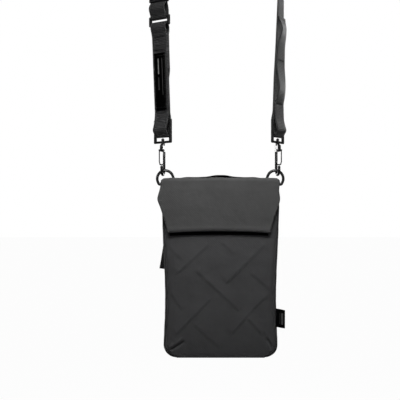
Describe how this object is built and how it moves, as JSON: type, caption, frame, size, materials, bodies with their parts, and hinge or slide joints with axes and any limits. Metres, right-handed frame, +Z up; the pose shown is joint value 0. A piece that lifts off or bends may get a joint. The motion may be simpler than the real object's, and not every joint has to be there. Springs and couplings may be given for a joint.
{
  "type": "phone pouch",
  "caption": "Slim quilted phone pouch with a folded flap and zipped back pocket, hung by D rings and wire-gate hooks from an adjustable webbing shoulder strap.",
  "frame": {"origin": "inside the top of the strap's arch, where the strap rests on a shoulder or a peg", "axes": "+X across the pouch to its labelled side, +Y from its front to its back, +Z up along the straps"},
  "size_m": [0.1486, 0.0401, 0.5436],
  "materials": {
    "body_cloth": "matt woven nylon",
    "flap_cloth": "matt woven nylon",
    "facing": "plain black cloth",
    "foam": "open-cell foam",
    "lining": "smooth lining cloth",
    "magnet": "plated",
    "label": "woven label",
    "zip_tape": "knitted tape",
    "zip_teeth": "moulded",
    "black_metal": "black satin",
    "gate_wire": "black satin",
    "frame_plastic": "moulded satin",
    "pull": "folded tape",
    "tab_tape": "woven tape",
    "webbing": "ribbed polyester webbing"
  },
  "bodies": {
    "strap": {"long_strap": "webbing", "label_strap": "webbing", "strap_label": "label", "left_frame": "frame_plastic", "right_frame": "frame_plastic", "strap_ring": "frame_plastic", "strap_slider": "frame_plastic", "strap_keeper": "tab_tape"},
    "left_hook": {"left_hook": "black_metal"},
    "left_gate": {"left_gate": "gate_wire"},
    "right_hook": {"right_hook": "black_metal"},
    "right_gate": {"right_gate": "gate_wire"},
    "pouch": {"front_panel": "body_cloth", "front_foam": "foam", "front_lining": "lining", "gusset": "body_cloth", "back_panel_upper": "body_cloth", "back_panel_lower": "body_cloth", "back_foam": "foam", "back_lining": "lining", "pocket_lining": "lining", "top_binding": "facing", "body_magnet": "magnet", "side_label": "label", "zip_tape": "zip_tape", "zip_teeth": "zip_teeth", "left_tab": "tab_tape", "right_tab": "tab_tape"},
    "flap_top": {"flap_top": "flap_cloth"},
    "flap_front": {"flap_front": "flap_cloth", "flap_facing": "facing", "flap_magnet": "magnet"},
    "left_ring": {"left_d_ring": "black_metal"},
    "right_ring": {"right_d_ring": "black_metal"},
    "zip_slider": {"zip_slider": "black_metal"},
    "zip_pull": {"zip_pull": "pull"}
  },
  "joints": [
    {"name": "left_swivel", "type": "hinge", "parent": "strap", "child": "left_hook", "pos_m": [-0.0612, 0, -0.3139], "axis": [0, 0, 1], "range_deg": [-18, 43]},
    {"name": "left_gate_hinge", "type": "hinge", "parent": "left_hook", "child": "left_gate", "pos_m": [-0.06239, -0.00516, -0.3226], "axis": [0.9744, -0.225, 0], "range_deg": [0, 18], "stiffness_Nm_per_rad": 0.03, "springref_deg": -8.59},
    {"name": "right_swivel", "type": "hinge", "parent": "strap", "child": "right_hook", "pos_m": [0.0612, 0, -0.3139], "axis": [0, 0, -1], "range_deg": [-18, 43]},
    {"name": "right_gate_hinge", "type": "hinge", "parent": "right_hook", "child": "right_gate", "pos_m": [0.06239, -0.00516, -0.3226], "axis": [0.9744, 0.225, 0], "range_deg": [0, 18], "stiffness_Nm_per_rad": 0.03, "springref_deg": -8.59},
    {"name": "pouch_swing", "type": "hinge", "parent": "strap", "child": "pouch", "pos_m": [0, 0, -0.34445], "axis": [1, 0, 0], "range_deg": [-25, 25]},
    {"name": "flap_lift", "type": "hinge", "parent": "pouch", "child": "flap_top", "pos_m": [0, -0.00437, -0.35338], "axis": [-1, 0, 0], "range_deg": [0, 60]},
    {"name": "flap_fold", "type": "hinge", "parent": "flap_top", "child": "flap_front", "pos_m": [0, -0.02477, -0.35338], "axis": [-1, 0, 0], "range_deg": [0, 90]},
    {"name": "left_ring_tilt", "type": "hinge", "parent": "pouch", "child": "left_ring", "pos_m": [-0.0572, 0, -0.35628], "axis": [0.9272, 0, 0.3746], "range_deg": [-2, 2]},
    {"name": "right_ring_tilt", "type": "hinge", "parent": "pouch", "child": "right_ring", "pos_m": [0.0572, 0, -0.35628], "axis": [0.9272, 0, -0.3746], "range_deg": [-2, 2]},
    {"name": "zip_slide", "type": "slide", "parent": "pouch", "child": "zip_slider", "axis": [1, 0, 0], "range_m": [0, 0.1]},
    {"name": "pull_lift", "type": "hinge", "parent": "zip_slider", "child": "zip_pull", "pos_m": [-0.05767, -0.00057, -0.41448], "axis": [1, 0, 0], "range_deg": [0, 150]}
  ],
  "couplings": [
    {"joint": "flap_fold", "follows": "flap_lift", "ratio": 1.5}
  ]
}
